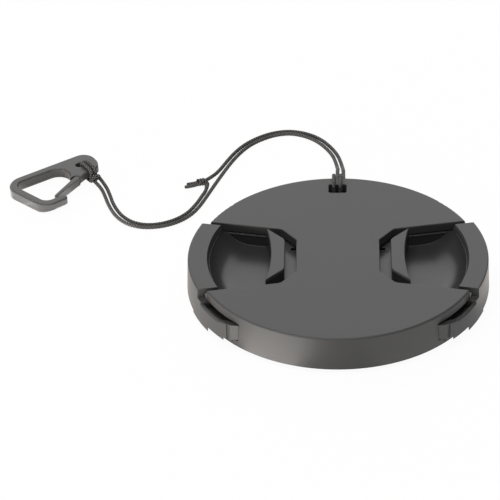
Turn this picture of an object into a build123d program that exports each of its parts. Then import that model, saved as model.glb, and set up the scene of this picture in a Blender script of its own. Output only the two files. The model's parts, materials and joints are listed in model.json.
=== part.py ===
from build123d import *
import os
from math import cos, pi, radians, sin, sqrt, tan

# Centre-pinch lens cap for a 67 mm filter thread, with a cord leash and a snap clip.
# Millimetres. The cap lies face up on a table at z = 0, standing on the spigot of its back plate.
# +X runs through the two pinch levers, +Y to the back edge where the cord is tied.

# Cap body: face plate and rim
CAP_HEIGHT = 10.0        # table to the face of the plate
SKIRT_Z = 1.4            # table to the foot of the rim, which sits on the lens
PLATE_R = 35.0           # face plate, at its top edge
RIM_FLARE = 0.4          # how much wider the rim is at its foot
RIM_T = 1.9              # wall of the rim at the plate
PLATE_T = 2.2            # face plate
PLATE_EDGE = 0.5         # rounding of the plate's outer edge
SOFT_EDGE = 0.15         # the other moulded edges are broken by this much
RUN = 0.3                # running clearance of what slides
CUT_REACH = 5.0          # how far cuts go past the levers

# Openings of the plate, one on each side
OPEN_X = 10.2            # inner edge, from the middle
OPEN_HALF = 6.8          # half length of the inner edge
OPEN_KNEE = (13.9, 11.6)  # where the slanted corner meets the long edge
OPEN_SPLAY = 10.9        # degrees that the long edges open outwards
KNEE_R = 2.0             # rounding at the knee

# Cord slot near the back edge, and the window in the rim below its bar
SLOT_W = 4.4
SLOT_L = 3.8
SLOT_BAR = 3.1           # bar left between the slot and the edge
SLOT_R = 0.6
WINDOW_W = 5.2
WINDOW_H = 2.2

# Rim ends and the ledges that the lever wings ride over
RIM_END_SHARE = 0.743    # of the plate's radius: the rim stands in front of and behind this line
LEDGE_SHARE = 0.8        # of the plate's radius: a low ledge goes on to here
LEDGE_H = 1.5
LEDGE_STEP = 0.7         # its outer end is lower, where the wings pass

# Back plate with its spigot
SPIGOT_FIT = 0.1         # inside the rim
SPIGOT_T = 1.8
BACK_RECESS = 1.2        # how far the middle is set in
BACK_T = 1.4
SPIGOT_CHAMFER = 0.3
POST_X = 10.0
POST_Y = 20.0
POST_R = 2.2
PEG_R = 1.1
PEG_FIT = 0.05

# Pinch levers
TRAVEL = 2.0
LEVER_PROUD = 1.7        # how far a lever stands out past the plate
LEVER_FLARE = 0.3
BAND_W = 4.7             # flat band round the pocket
BAND_T = 1.5
BAND_GAP = 1.05          # band end to the opening's long edge
BAND_EDGE = 0.4
POCKET_DEPTH = 5.75
SCOOP_R = 7.4            # hollow between pocket floor and band
LEVER_WALL = 1.2
SKIRT_T = 1.5
TRAY_LAP = 0.75          # side wall of the pocket, under the plate
TRAY_LIP = 0.12          # and inside the opening
TAB_X = 13.0             # grip tab, inner face
TAB_HALF = 6.5
TAB_TIP = (17.5, 11.2)
TAB_WAIST = 16.3         # hollow finger side, at the middle
TAB_RISE = 0.5           # above the face
TAB_CORNER_R = 2.4
TONGUE_X = 8.0           # slider in front of the tab, under the plate
TONGUE_HALF = 6.4
TONGUE_GAP = 0.8         # below the plate
TONGUE_T = 1.0
WING_GAP = 1.0           # top of the wings, below the plate
WING_SHARE = 0.7466      # of the lever's radius: the full wing ends here
WING_STEP_SHARE = 0.853  # and it is cut away over the ledge from here
WING_T = 0.8
WING_EDGE = 0.35
TIP_INSET = 0.25         # the wing's tip is set in
TIP_T = 0.9
TIP_DROP = 0.3
FOOT_RELIEF = 0.6        # middle of the lever's foot
FOOT_RELIEF_HALF = 11.6

# Jaws that grip the lens thread
JAW_INSET = 0.1          # inside the spigot
JAW_T = 1.5
JAW_HALF = 11.5
JAW_LIFT = 0.2           # clear of the table
THREAD_PITCH = 0.75
THREAD_RISE = 0.6
THREAD_RIBS = 2

# Springs between each lever and the middle rib
RIB_HALF = 1.2
GUIDE_T = 1.0
GUIDE_X = 9.6
SPRING_FILL = 0.76       # share of the height under the slider that the coil takes
SPRING_WIRE = 0.45
SPRING_TURNS = 6
SPRING_STEPS = 12        # straight steps that make up one turn
SPRING_SEAT = 0.05
SPRING_PIN_FIT = 0.14
SPRING_PIN_L = 1.2

# Leash cord
CORD_D = 1.1
CORD_SIDES = 6
CORD_REST = 0.05
CORD_FIT = 0.1
HITCH_X = (-0.95, 0.75)  # the two turns round the bar
HITCH_CUT = 0.38
KNOT_HEAD = (-34.1, 47.95, 1.2)
KNOT_AIM = (-0.9, -0.43, 0.0)
KNOT_L = 2.5
KNOT_R = 1.1
KNOT_TURNS = 3
TAIL_L = 2.6
TAIL_SPREAD = 0.6
TAIL_DROP = 0.4

# Snap clip, drawn flat in its own plane
CLIP_SPOT = (-73.3, 45.3)
CLIP_TURN = 31.0
CLIP_TILT = 3.6          # the cord under its eye lifts that end
CLIP_T = 2.6
CLIP_ARM = 2.2
CLIP_EDGE = 0.3
CLIP_EDGE_LOW = 0.8
CLIP_REACH = 11.1        # origin of the clip to its end on the table
FAR_Y = 6.4              # straight far edge
EYE_X = 13.5
EYE_MID = (13.4, 1.0)
EYE_NEAR = (12.4, -1.6)
EYE_NECK = (9.0, -2.07)   # where the cord's turns begin
EYE_ROOT = (6.0, -3.33)
EYE_HOLE = (9.3, 2.0)
EYE_HOLE_L = 3.6
EYE_HOLE_W = 1.9
EYE_CORNER_R = 3.6
EYE_MID_R = 3.0
EYE_NEAR_R = 1.8
EYE_NECK_R = 1.0
EYE_TURNS = (8.4, 10.2)  # the two turns of cord
EYE_LEAN = 14.0          # and how they slant
EYE_BAR = 4.15           # from the hole to the near edge, along the turns
WINDOW_R = 3.6
WINDOW_END = (1.2, FAR_Y - CLIP_ARM - WINDOW_R)
ARM_CORNER_X = -11.05
HOOK_BEND = (-6.7, -8.8)
HOOK_TIP = (-1.5, -8.48)
ARM_BEND_R = 3.0
HOOK_BEND_R = 3.4
GATE_PIVOT = (5.35, -2.75)
GATE_ROOT_R = 0.8
SEAT_REACH = 2.4         # edges nearer than this to the pivot stay sharp
GATE_TIP_IN = (-2.9, -6.45)
GATE_TIP_OUT = (-2.6, -7.1)
GATE_DROP = 0.15         # below the frame's upper face
GATE_LIFT = 0.35         # above its under face
GATE_FIT = 0.15

# Values that follow from the ones above
PLATE_Z = CAP_HEIGHT - PLATE_T
FOOT_R = PLATE_R + RIM_FLARE
RIM_IN_R = PLATE_R - RIM_T
RIM_END_Y = PLATE_R * RIM_END_SHARE
BACK_TOP = BACK_RECESS + BACK_T
SPIGOT_R = RIM_IN_R - SPIGOT_FIT
LEDGE_X = PLATE_R * LEDGE_SHARE
LEDGE_TOP = SKIRT_Z + LEDGE_H
LEDGE_LOW = LEDGE_TOP - LEDGE_STEP
LEVER_R = PLATE_R + LEVER_PROUD
POCKET_R = LEVER_R - BAND_W
FLOOR_Z = CAP_HEIGHT - POCKET_DEPTH
LEVER_UNDER = FLOOR_Z - LEVER_WALL
LEVER_TOP = PLATE_Z - RUN
WING_X = LEVER_R * WING_SHARE
WING_STEP_X = LEVER_R * WING_STEP_SHARE
WING_TOP = PLATE_Z - WING_GAP
WING_FOOT = LEDGE_LOW + RUN
TIP_FOOT = LEDGE_TOP + RUN
LEDGE_STEP_X = WING_X - TRAVEL - RUN
TONGUE_TOP = PLATE_Z - TONGUE_GAP
TONGUE_UNDER = TONGUE_TOP - TONGUE_T
JAW_R = SPIGOT_R - JAW_INSET
JAW_IN_R = JAW_R - JAW_T
SPLAY = tan(radians(OPEN_SPLAY))
SLOT_Y = PLATE_R - SLOT_BAR - SLOT_L / 2
FAR = LEVER_R + CUT_REACH
CORD_Z = CORD_D / 2 + CORD_REST
SPRING_ROOM = TONGUE_UNDER - BACK_TOP
SPRING_D = SPRING_ROOM * SPRING_FILL
SPRING_Z = BACK_TOP + SPRING_ROOM / 2
SPRING_PIN_R = SPRING_D / 2 - SPRING_WIRE - SPRING_PIN_FIT


def open_edge(x):
    """Half width of a plate opening at the distance x from the middle."""
    return OPEN_KNEE[1] + (x - OPEN_KNEE[0]) * SPLAY


def lever_r(z):
    """Radius of a lever's outer wall at the height z."""
    return LEVER_R + LEVER_FLARE * (CAP_HEIGHT - z) / (CAP_HEIGHT - SKIRT_Z)


def splayed(x_in, x_out, shift):
    """Outline of a region between two lines that run beside the opening's long edges."""
    return [
        (x_in, -open_edge(x_in) - shift),
        (x_out, -open_edge(x_out) - shift),
        (x_out, open_edge(x_out) + shift),
        (x_in, open_edge(x_in) + shift),
    ]


os.makedirs("parts", exist_ok=True)


# Cap body
with BuildPart() as cap_body:
    with BuildSketch(Plane.XZ):
        with BuildLine():
            Polyline(
                (0, PLATE_Z),
                (RIM_IN_R, PLATE_Z),
                (RIM_IN_R, SKIRT_Z),
                (FOOT_R, SKIRT_Z),
                (PLATE_R, CAP_HEIGHT),
                (0, CAP_HEIGHT),
                close=True,
            )
        make_face()
    revolve(axis=Axis.Z)
    fillet(cap_body.edges().group_by(Axis.Z)[-1], PLATE_EDGE)
    # The rim stands at the front and the back only, and its foot goes on as a ledge
    with BuildSketch(Plane.XY.offset(LEDGE_TOP)):
        Rectangle(2 * FAR, 2 * RIM_END_Y)
    extrude(amount=PLATE_Z - LEDGE_TOP, mode=Mode.SUBTRACT)
    with BuildSketch(Plane.XY.offset(LEDGE_LOW)):
        Rectangle(2 * FAR, 2 * RIM_END_Y)
        Rectangle(2 * LEDGE_STEP_X, 2 * FAR, mode=Mode.SUBTRACT)
    extrude(amount=LEDGE_STEP, mode=Mode.SUBTRACT)
    with BuildSketch(Plane.XY.offset(SKIRT_Z)):
        Rectangle(2 * FAR, 2 * FAR)
        Rectangle(2 * LEDGE_X, 2 * FAR, mode=Mode.SUBTRACT)
    extrude(amount=LEDGE_H, mode=Mode.SUBTRACT)
    # Openings for the levers
    with BuildSketch(Plane.XY.offset(PLATE_Z)) as openings:
        with BuildLine():
            Polyline(
                (OPEN_X, -OPEN_HALF),
                (OPEN_KNEE[0], -OPEN_KNEE[1]),
                (FAR, -open_edge(FAR)),
                (FAR, open_edge(FAR)),
                (OPEN_KNEE[0], OPEN_KNEE[1]),
                (OPEN_X, OPEN_HALF),
                close=True,
            )
        make_face()
        fillet(openings.vertices().group_by(Axis.X)[1], KNEE_R)
        mirror(about=Plane.YZ)
    extrude(amount=PLATE_T, mode=Mode.SUBTRACT)
    # Cord slot and the window under its bar
    with BuildSketch(Plane.XY.offset(PLATE_Z)):
        with Locations((0, SLOT_Y)):
            RectangleRounded(SLOT_W, SLOT_L, SLOT_R)
    extrude(amount=PLATE_T, mode=Mode.SUBTRACT)
    with BuildSketch(Plane.XY.offset(PLATE_Z)):
        with Locations((0, SLOT_Y)):
            Rectangle(WINDOW_W, 2 * (FAR - SLOT_Y))
    extrude(amount=-WINDOW_H, mode=Mode.SUBTRACT)
    # Soft edges round the openings and the slot
    face_top = cap_body.faces().filter_by(Axis.Z).sort_by(Axis.Z)[-1]
    chamfer(face_top.edges().filter_by(GeomType.LINE), SOFT_EDGE)
    # Middle rib that the springs push on, and the guides of the two sliders
    with BuildSketch(Plane.XY.offset(BACK_TOP)):
        Rectangle(2 * RIB_HALF, 2 * (TONGUE_HALF + RUN + GUIDE_T))
        with Locations(*[(0, side * (TONGUE_HALF + RUN + GUIDE_T / 2)) for side in (-1, 1)]):
            Rectangle(2 * GUIDE_X, GUIDE_T)
    extrude(amount=PLATE_Z - BACK_TOP)
    with BuildSketch(Plane.YZ):
        with Locations((0, SPRING_Z)):
            Circle(SPRING_PIN_R)
    extrude(amount=RIB_HALF + SPRING_PIN_L, both=True)
    # Posts with pegs that carry the back plate
    with BuildSketch(Plane.XY.offset(BACK_TOP)):
        with GridLocations(2 * POST_X, 2 * POST_Y, 2, 2):
            Circle(POST_R)
    extrude(amount=PLATE_Z - BACK_TOP)
    with BuildSketch(Plane.XY.offset(BACK_RECESS)):
        with GridLocations(2 * POST_X, 2 * POST_Y, 2, 2):
            Circle(PEG_R)
    extrude(amount=BACK_T)
cap_body.part.label = "cap_body"
export_step(cap_body.part, "parts/cap_body.step")


# Back plate
with BuildPart() as back_plate:
    with BuildSketch(Plane.XZ):
        with BuildLine():
            Polyline(
                (0, BACK_RECESS),
                (SPIGOT_R - SPIGOT_T, BACK_RECESS),
                (SPIGOT_R - SPIGOT_T, 0),
                (SPIGOT_R - SPIGOT_CHAMFER, 0),
                (SPIGOT_R, SPIGOT_CHAMFER),
                (SPIGOT_R, BACK_TOP),
                (0, BACK_TOP),
                close=True,
            )
        make_face()
    revolve(axis=Axis.Z)
    # Room for the jaws over their whole travel
    with BuildSketch():
        Rectangle(2 * FAR, 2 * (JAW_HALF + RUN))
        with BuildSketch(mode=Mode.PRIVATE) as kept:
            with Locations((TRAVEL + RUN, 0)):
                Circle(JAW_IN_R)
            with Locations((-TRAVEL - RUN, 0)):
                Circle(JAW_IN_R, mode=Mode.INTERSECT)
        add(kept.sketch, mode=Mode.SUBTRACT)
    extrude(amount=BACK_TOP, mode=Mode.SUBTRACT)
    with BuildSketch():
        with GridLocations(2 * POST_X, 2 * POST_Y, 2, 2):
            Circle(PEG_R + PEG_FIT)
    extrude(amount=BACK_TOP, mode=Mode.SUBTRACT)
back_plate.part.label = "back_plate"
export_step(back_plate.part, "parts/back_plate.step")


# Right lever. The space that its pocket shell may fill comes first
with BuildPart() as lever_room:
    with BuildSketch():
        Polygon(*splayed(TAB_TIP[0], FAR, TRAY_LAP), align=None)
    extrude(amount=LEVER_TOP)
    with BuildSketch(Plane.XY.offset(LEVER_TOP)):
        Polygon(*splayed(TAB_TIP[0], FAR, -BAND_GAP / cos(radians(OPEN_SPLAY))), align=None)
    extrude(amount=CAP_HEIGHT - LEVER_TOP)

scoop_run = sqrt(SCOOP_R**2 - (SCOOP_R - POCKET_DEPTH) ** 2)
scoop_r = POCKET_R - scoop_run
scoop_z = FLOOR_Z + SCOOP_R
under_r = SCOOP_R + LEVER_WALL
band_under = CAP_HEIGHT - BAND_T
under_run = sqrt(under_r**2 - (scoop_z - band_under) ** 2)
mid_turn = radians(45)

with BuildPart() as lever_right:
    # Pocket shell: floor, scoop, band and skirt in one turned section
    with BuildSketch(Plane.XZ):
        with BuildLine():
            Polyline((TAB_X, LEVER_UNDER), (TAB_X, FLOOR_Z), (scoop_r, FLOOR_Z))
            ThreePointArc(
                (scoop_r, FLOOR_Z),
                (scoop_r + SCOOP_R * sin(mid_turn), scoop_z - SCOOP_R * cos(mid_turn)),
                (POCKET_R, CAP_HEIGHT),
            )
            Polyline(
                (POCKET_R, CAP_HEIGHT),
                (LEVER_R, CAP_HEIGHT),
                (LEVER_R + LEVER_FLARE, SKIRT_Z),
                (LEVER_R + LEVER_FLARE - SKIRT_T, SKIRT_Z),
                (LEVER_R - SKIRT_T, band_under),
                (scoop_r + under_run, band_under),
            )
            ThreePointArc(
                (scoop_r + under_run, band_under),
                (scoop_r + under_r * sin(mid_turn), scoop_z - under_r * cos(mid_turn)),
                (scoop_r, LEVER_UNDER),
            )
            Line((scoop_r, LEVER_UNDER), (TAB_X, LEVER_UNDER))
        make_face()
    revolve(axis=Axis.Z)
    add(lever_room.part, mode=Mode.INTERSECT)
    band_face = lever_right.faces().filter_by(Axis.Z).sort_by(Axis.Z)[-1]
    fillet(band_face.edges().sort_by(Axis.X)[-1], BAND_EDGE)
    # Side walls of the pocket
    with BuildSketch(Plane.XY.offset(LEVER_UNDER)):
        Polygon(*splayed(TAB_TIP[0], FAR, TRAY_LAP), align=None)
        Polygon(*splayed(TAB_TIP[0], FAR, -TRAY_LIP), align=None, mode=Mode.SUBTRACT)
        Circle(LEVER_R - SKIRT_T / 2, mode=Mode.INTERSECT)
    extrude(amount=LEVER_TOP - LEVER_UNDER)
    # Wings of the skirt, cut away over the ledges, and their set-in tips
    with BuildSketch(Plane.XZ):
        with BuildLine():
            Polyline(
                (lever_r(WING_TOP) - WING_T, WING_TOP),
                (lever_r(WING_TOP) - WING_EDGE, WING_TOP),
                (lever_r(WING_TOP - WING_EDGE), WING_TOP - WING_EDGE),
                (LEVER_R + LEVER_FLARE, SKIRT_Z),
                (LEVER_R + LEVER_FLARE - WING_T, SKIRT_Z),
                close=True,
            )
        make_face()
    wings = revolve(axis=Axis.Z, mode=Mode.PRIVATE)
    with BuildSketch(Plane.XY.offset(SKIRT_Z)):
        with Locations(((WING_STEP_X + FAR) / 2, 0)):
            Rectangle(FAR - WING_STEP_X, 2 * FAR)
    low_room = extrude(amount=WING_FOOT - SKIRT_Z, mode=Mode.PRIVATE)
    with BuildSketch(Plane.XY.offset(WING_FOOT)):
        with Locations(((WING_X + FAR) / 2, 0)):
            Rectangle(FAR - WING_X, 2 * FAR)
    high_room = extrude(amount=WING_TOP - WING_FOOT, mode=Mode.PRIVATE)
    add(wings & (low_room + high_room))
    with BuildSketch(Plane.XY.offset(TIP_FOOT)):
        Circle(LEVER_R - TIP_INSET)
        Circle(LEVER_R - TIP_INSET - TIP_T, mode=Mode.SUBTRACT)
        with Locations((FAR / 2, 0)):
            Rectangle(FAR, 2 * (RIM_END_Y - RUN), mode=Mode.INTERSECT)
        with Locations((WING_X + SKIRT_T - FAR / 2, 0)):
            Rectangle(FAR, 2 * FAR, mode=Mode.INTERSECT)
    extrude(amount=WING_TOP - TIP_DROP - TIP_FOOT)
    # Relief in the middle of the foot
    with BuildSketch(Plane.XY.offset(SKIRT_Z)):
        with Locations((LEVER_R, 0)):
            Rectangle(2 * BAND_W, 2 * FOOT_RELIEF_HALF)
    extrude(amount=FOOT_RELIEF, mode=Mode.SUBTRACT)
    # Grip tab on the end of the pocket floor
    with BuildSketch(Plane.XY.offset(LEVER_UNDER)) as tab_foot:
        with BuildLine():
            Polyline(
                (TAB_TIP[0], -TAB_TIP[1]),
                (TAB_X, -TAB_HALF),
                (TAB_X, TAB_HALF),
                (TAB_TIP[0], TAB_TIP[1]),
                close=True,
            )
        make_face()
        fillet(tab_foot.vertices().group_by(Axis.X)[0], TAB_CORNER_R)
    extrude(amount=LEVER_WALL)
    with BuildSketch(Plane.XY.offset(FLOOR_Z)) as tab_top:
        with BuildLine():
            Polyline(
                (TAB_TIP[0], -TAB_TIP[1]),
                (TAB_X, -TAB_HALF),
                (TAB_X, TAB_HALF),
                (TAB_TIP[0], TAB_TIP[1]),
            )
            ThreePointArc((TAB_TIP[0], TAB_TIP[1]), (TAB_WAIST, 0), (TAB_TIP[0], -TAB_TIP[1]))
        make_face()
        fillet(tab_top.vertices().group_by(Axis.X)[0], TAB_CORNER_R)
    extrude(amount=CAP_HEIGHT + TAB_RISE - FLOOR_Z)
    tab_face = lever_right.faces().filter_by(Axis.Z).group_by(Axis.Z)[-1].sort_by(Axis.X)[0]
    chamfer(tab_face.edges(), SOFT_EDGE)
    # Slider under the plate, and the pin that holds the spring
    with BuildSketch(Plane.XY.offset(TONGUE_UNDER)):
        with Locations(((TONGUE_X + TAB_X) / 2, 0)):
            Rectangle(TAB_X - TONGUE_X, 2 * TONGUE_HALF)
    extrude(amount=TONGUE_T)
    with BuildSketch(Plane.YZ.offset(TAB_X - SPRING_PIN_L)):
        with Locations((0, SPRING_Z)):
            Circle(SPRING_PIN_R)
    extrude(amount=SPRING_PIN_L)
    # Jaw under the band, with ribs for the lens thread
    with BuildSketch(Plane.XZ) as jaw_section:
        with BuildLine():
            Polyline(
                (JAW_IN_R, JAW_LIFT),
                (JAW_R, JAW_LIFT),
                (JAW_R, band_under),
                (JAW_IN_R, band_under),
                close=True,
            )
        make_face()
        for rib in range(THREAD_RIBS):
            foot = JAW_LIFT + rib * THREAD_PITCH
            with BuildLine():
                Polyline(
                    (JAW_R, foot),
                    (JAW_R + THREAD_RISE, foot + THREAD_PITCH / 2),
                    (JAW_R, foot + THREAD_PITCH),
                    close=True,
                )
            make_face()
    jaw = revolve(axis=Axis.Z, mode=Mode.PRIVATE)
    with BuildSketch():
        with Locations((FAR / 2, 0)):
            Rectangle(FAR, 2 * JAW_HALF)
    jaw_room = extrude(amount=CAP_HEIGHT, mode=Mode.PRIVATE)
    add(jaw & jaw_room)
lever_right.part.label = "lever_right"
export_step(lever_right.part, "parts/lever_right.step")

with BuildPart() as lever_left:
    mirror(lever_right.part, about=Plane.YZ)
lever_left.part.label = "lever_left"
export_step(lever_left.part, "parts/lever_left.step")


# Springs, one behind each lever
with BuildPart() as spring_right:
    coil_start = RIB_HALF + SPRING_SEAT + SPRING_WIRE / 2
    coil_length = TAB_X - RIB_HALF - 2 * SPRING_SEAT - SPRING_WIRE
    coil_r = (SPRING_D - SPRING_WIRE) / 2
    steps = SPRING_TURNS * SPRING_STEPS
    with BuildLine() as coil:
        Polyline(
            *[
                (
                    coil_start + coil_length * i / steps,
                    coil_r * cos(2 * pi * i / SPRING_STEPS),
                    SPRING_Z + coil_r * sin(2 * pi * i / SPRING_STEPS),
                )
                for i in range(steps + 1)
            ]
        )
    with BuildSketch(Plane(origin=coil.line @ 0, z_dir=coil.line % 0)):
        RegularPolygon(SPRING_WIRE / 2, 4)
    sweep(path=coil.line, transition=Transition.RIGHT)
spring_right.part.label = "spring_right"
export_step(spring_right.part, "parts/spring_right.step")

with BuildPart() as spring_left:
    mirror(spring_right.part, about=Plane.YZ)
spring_left.part.label = "spring_left"
export_step(spring_left.part, "parts/spring_left.step")


# Leash cord
def cord_radii(points):
    """Bend radius at each inner point, as large as its two runs allow."""
    spots = [Vector(*p) for p in points]
    radii = []
    for before, here, after in zip(spots, spots[1:], spots[2:]):
        run_in = here - before
        run_out = after - here
        half_turn = radians(run_in.get_angle(run_out)) / 2
        radii.append(0.45 * min(run_in.length, run_out.length) / tan(half_turn))
    return radii


def cord_along(line):
    """Sweep the cord's section along a finished line."""
    with BuildPart() as tube:
        with BuildSketch(Plane(origin=line @ 0, z_dir=line % 0)):
            RegularPolygon(CORD_D / 2, CORD_SIDES)
        sweep(path=line)
    return tube.part


def cord_turn(plane, left, right, low, high):
    """One closed turn of cord round a bar, in the given plane."""
    with BuildPart() as tube:
        with BuildLine(plane) as route:
            Polyline(
                (left + HITCH_CUT, low),
                (right - HITCH_CUT, low),
                (right, low + HITCH_CUT),
                (right, high - HITCH_CUT),
                (right - HITCH_CUT, high),
                (left + HITCH_CUT, high),
                (left, high - HITCH_CUT),
                (left, low + HITCH_CUT),
                close=True,
            )
        with BuildSketch(Plane(origin=route.line @ 0, z_dir=route.line % 0)):
            RegularPolygon(CORD_D / 2, CORD_SIDES)
        sweep(path=route.line, transition=Transition.RIGHT)
    return tube.part


LONG_STRAND = [
    (0.0, 36.4, 8.9),
    (0.0, 41.0, 8.1),
    (0.1, 46.2, 5.4),
    (0.0, 51.4, 2.4),
    (-0.4, 56.3, 0.9),
    (-1.2, 60.4, CORD_Z),
    (-3.2, 64.5, CORD_Z),
    (-5.8, 68.0, CORD_Z),
    (-9.1, 70.4, CORD_Z),
    (-12.7, 71.5, CORD_Z),
    (-16.5, 70.7, CORD_Z),
    (-20.0, 68.6, CORD_Z),
    (-23.2, 65.6, CORD_Z),
    (-25.7, 61.7, CORD_Z),
    (-27.7, 57.5, CORD_Z),
    (-29.4, 53.1, CORD_Z),
    (-31.0, 48.7, CORD_Z),
    (-32.5, 44.4, CORD_Z),
    (-33.9, 40.3, CORD_Z),
    (-35.3, 36.4, CORD_Z),
    (-37.2, 32.6, CORD_Z),
    (-40.0, 29.5, CORD_Z),
    (-43.6, 27.4, CORD_Z),
    (-47.4, 26.6, CORD_Z),
    (-50.6, 26.9, CORD_Z),
    (-53.7, 28.4, CORD_Z),
    (-56.6, 31.8, CORD_Z),
    (-58.7, 36.8, CORD_Z),
    (-60.0, 41.5, 0.7),
    (-61.2, 44.8, 1.1),
    (-63.3, 47.45, 1.6),
]
UPPER_STRAND = [
    (1.5, 36.4, 8.9),
    (1.5, 41.0, 8.1),
    (1.4, 46.2, 5.4),
    (1.3, 51.5, 2.4),
    (0.9, 56.5, 0.9),
    (0.0, 60.8, CORD_Z),
    (-2.0, 65.1, CORD_Z),
    (-4.8, 69.0, CORD_Z),
    (-8.5, 71.6, CORD_Z),
    (-12.7, 72.7, CORD_Z),
    (-16.9, 71.9, CORD_Z),
    (-20.8, 69.6, CORD_Z),
    (-24.2, 66.4, CORD_Z),
    (-26.9, 62.3, CORD_Z),
    (-28.9, 57.9, CORD_Z),
    (-30.4, 54.2, CORD_Z),
    (-32.0, 50.9, 0.7),
    (-33.8, 48.2, 1.15),
]
LOWER_STRAND = [
    (-34.0, 46.45, 0.75),
    (-33.8, 44.9, CORD_Z),
    (-34.2, 43.0, CORD_Z),
    (-34.9, 41.2, CORD_Z),
    (-35.6, 39.1, CORD_Z),
    (-36.6, 36.6, CORD_Z),
    (-38.2, 33.4, CORD_Z),
    (-40.8, 30.5, CORD_Z),
    (-44.0, 28.6, CORD_Z),
    (-47.3, 27.8, CORD_Z),
    (-50.0, 28.1, CORD_Z),
    (-52.7, 29.4, CORD_Z),
    (-55.4, 32.5, CORD_Z),
    (-57.5, 37.2, CORD_Z),
    (-58.7, 41.8, 0.7),
    (-59.9, 45.4, 1.1),
    (-61.75, 48.35, 1.75),
]
strands = {
    "cord_long": LONG_STRAND,
    "cord_upper": UPPER_STRAND,
    "cord_lower": LOWER_STRAND,
}
for name, points in strands.items():
    radii = cord_radii(points)
    with BuildPart() as strand:
        with BuildLine() as route:
            FilletPolyline(*points, radius=radii)
        add(cord_along(route.line))
    strand.part.label = name
    export_step(strand.part, f"parts/{name}.step")
    length = sum(edge.length for edge in route.edges())
    print(name, "length", round(length, 1), "radii", [round(r, 1) for r in radii])

# Hitch round the bar of the cap
with BuildPart() as cap_hitch:
    off_bar = CORD_D / 2 + CORD_FIT
    bar_out = FOOT_R - RIM_FLARE * (PLATE_Z - SKIRT_Z) / (CAP_HEIGHT - SKIRT_Z)
    for x in HITCH_X:
        add(
            cord_turn(
                Plane.YZ.offset(x),
                PLATE_R - SLOT_BAR - off_bar,
                bar_out + off_bar,
                PLATE_Z - off_bar,
                CAP_HEIGHT + off_bar,
            )
        )
cap_hitch.part.label = "cap_hitch"
export_step(cap_hitch.part, "parts/cap_hitch.step")

# Knot that closes the loop, with its two tails
with BuildPart() as loop_knot:
    along = Plane(origin=KNOT_HEAD, x_dir=(0, 0, 1), z_dir=KNOT_AIM)
    turn = KNOT_L / KNOT_TURNS
    waist = KNOT_R - turn / 4
    with BuildSketch(Plane(origin=along.origin, x_dir=along.x_dir, z_dir=along.y_dir)):
        with BuildLine():
            for i in range(KNOT_TURNS):
                Polyline((waist, -turn * i), (KNOT_R, -turn * (i + 0.5)), (waist, -turn * (i + 1)))
            Polyline((waist, -KNOT_L), (0, -KNOT_L), (0, 0), (waist, 0))
        make_face()
    revolve(axis=Axis(along.origin, along.z_dir))
    with BuildSketch(along.offset(KNOT_L)):
        with Locations((-TAIL_DROP, -TAIL_SPREAD), (-TAIL_DROP, TAIL_SPREAD)):
            RegularPolygon(CORD_D / 2, CORD_SIDES)
    extrude(amount=TAIL_L)
loop_knot.part.label = "loop_knot"
export_step(loop_knot.part, "parts/loop_knot.step")


# Snap clip, in its own tilted plane
turn_cos = cos(radians(CLIP_TURN))
turn_sin = sin(radians(CLIP_TURN))
tilt_cos = cos(radians(CLIP_TILT))
tilt_sin = sin(radians(CLIP_TILT))
clip_x = Vector(turn_cos * tilt_cos, turn_sin * tilt_cos, tilt_sin)
clip_y = Vector(-turn_sin, turn_cos, 0)
clip_plane = Plane(
    origin=(CLIP_SPOT[0], CLIP_SPOT[1], CLIP_REACH * tilt_sin),
    x_dir=clip_x,
    z_dir=clip_x.cross(clip_y),
)

clip_axis = Axis(clip_plane.origin, clip_plane.z_dir)

with BuildPart() as clip_frame:
    with BuildSketch(clip_plane):
        # Eye for the cord
        with BuildSketch(mode=Mode.PRIVATE) as eye:
            with BuildLine():
                FilletPolyline(
                    (0, FAR_Y),
                    (EYE_X, FAR_Y),
                    EYE_MID,
                    EYE_NEAR,
                    EYE_NECK,
                    EYE_ROOT,
                    radius=[EYE_CORNER_R, EYE_MID_R, EYE_NEAR_R, EYE_NECK_R],
                )
                Polyline(EYE_ROOT, (0, EYE_ROOT[1]), (0, FAR_Y))
            make_face()
            # Round end of the window, and the seat of the gate
            with Locations(WINDOW_END):
                Circle(WINDOW_R, mode=Mode.SUBTRACT)
            with Locations(GATE_PIVOT):
                Circle(GATE_ROOT_R + GATE_FIT, mode=Mode.SUBTRACT)
                Rectangle(
                    WINDOW_R + GATE_PIVOT[0],
                    2 * (GATE_ROOT_R + GATE_FIT),
                    align=(Align.MAX, Align.CENTER),
                    mode=Mode.SUBTRACT,
                )
            with Locations((WINDOW_END[0], FAR_Y - CLIP_ARM)):
                Rectangle(2 * FAR_Y, 2 * FAR_Y, align=(Align.MAX, Align.MAX), mode=Mode.SUBTRACT)
        add(eye.sketch)
        # Far arm, end and hook
        with BuildLine() as arm:
            FilletPolyline(
                (EYE_ROOT[0], FAR_Y - CLIP_ARM / 2),
                (ARM_CORNER_X, FAR_Y - CLIP_ARM / 2),
                HOOK_BEND,
                HOOK_TIP,
                radius=[ARM_BEND_R, HOOK_BEND_R],
            )
        trace(line_width=CLIP_ARM)
        with Locations(HOOK_TIP):
            Circle(CLIP_ARM / 2)
        with Locations(EYE_HOLE):
            SlotOverall(EYE_HOLE_L, EYE_HOLE_W, mode=Mode.SUBTRACT)
    extrude(amount=CLIP_T)
    pivot = clip_plane.from_local_coords((GATE_PIVOT[0], GATE_PIVOT[1], CLIP_T / 2))
    for end, width in ((-1, CLIP_EDGE), (0, CLIP_EDGE_LOW)):
        flat = clip_frame.faces().sort_by(clip_axis)[end]
        chamfer([edge for edge in flat.outer_wire().edges() if edge.distance_to(pivot) > SEAT_REACH], width)
clip_frame.part.label = "clip_frame"
export_step(clip_frame.part, "parts/clip_frame.step")

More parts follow.
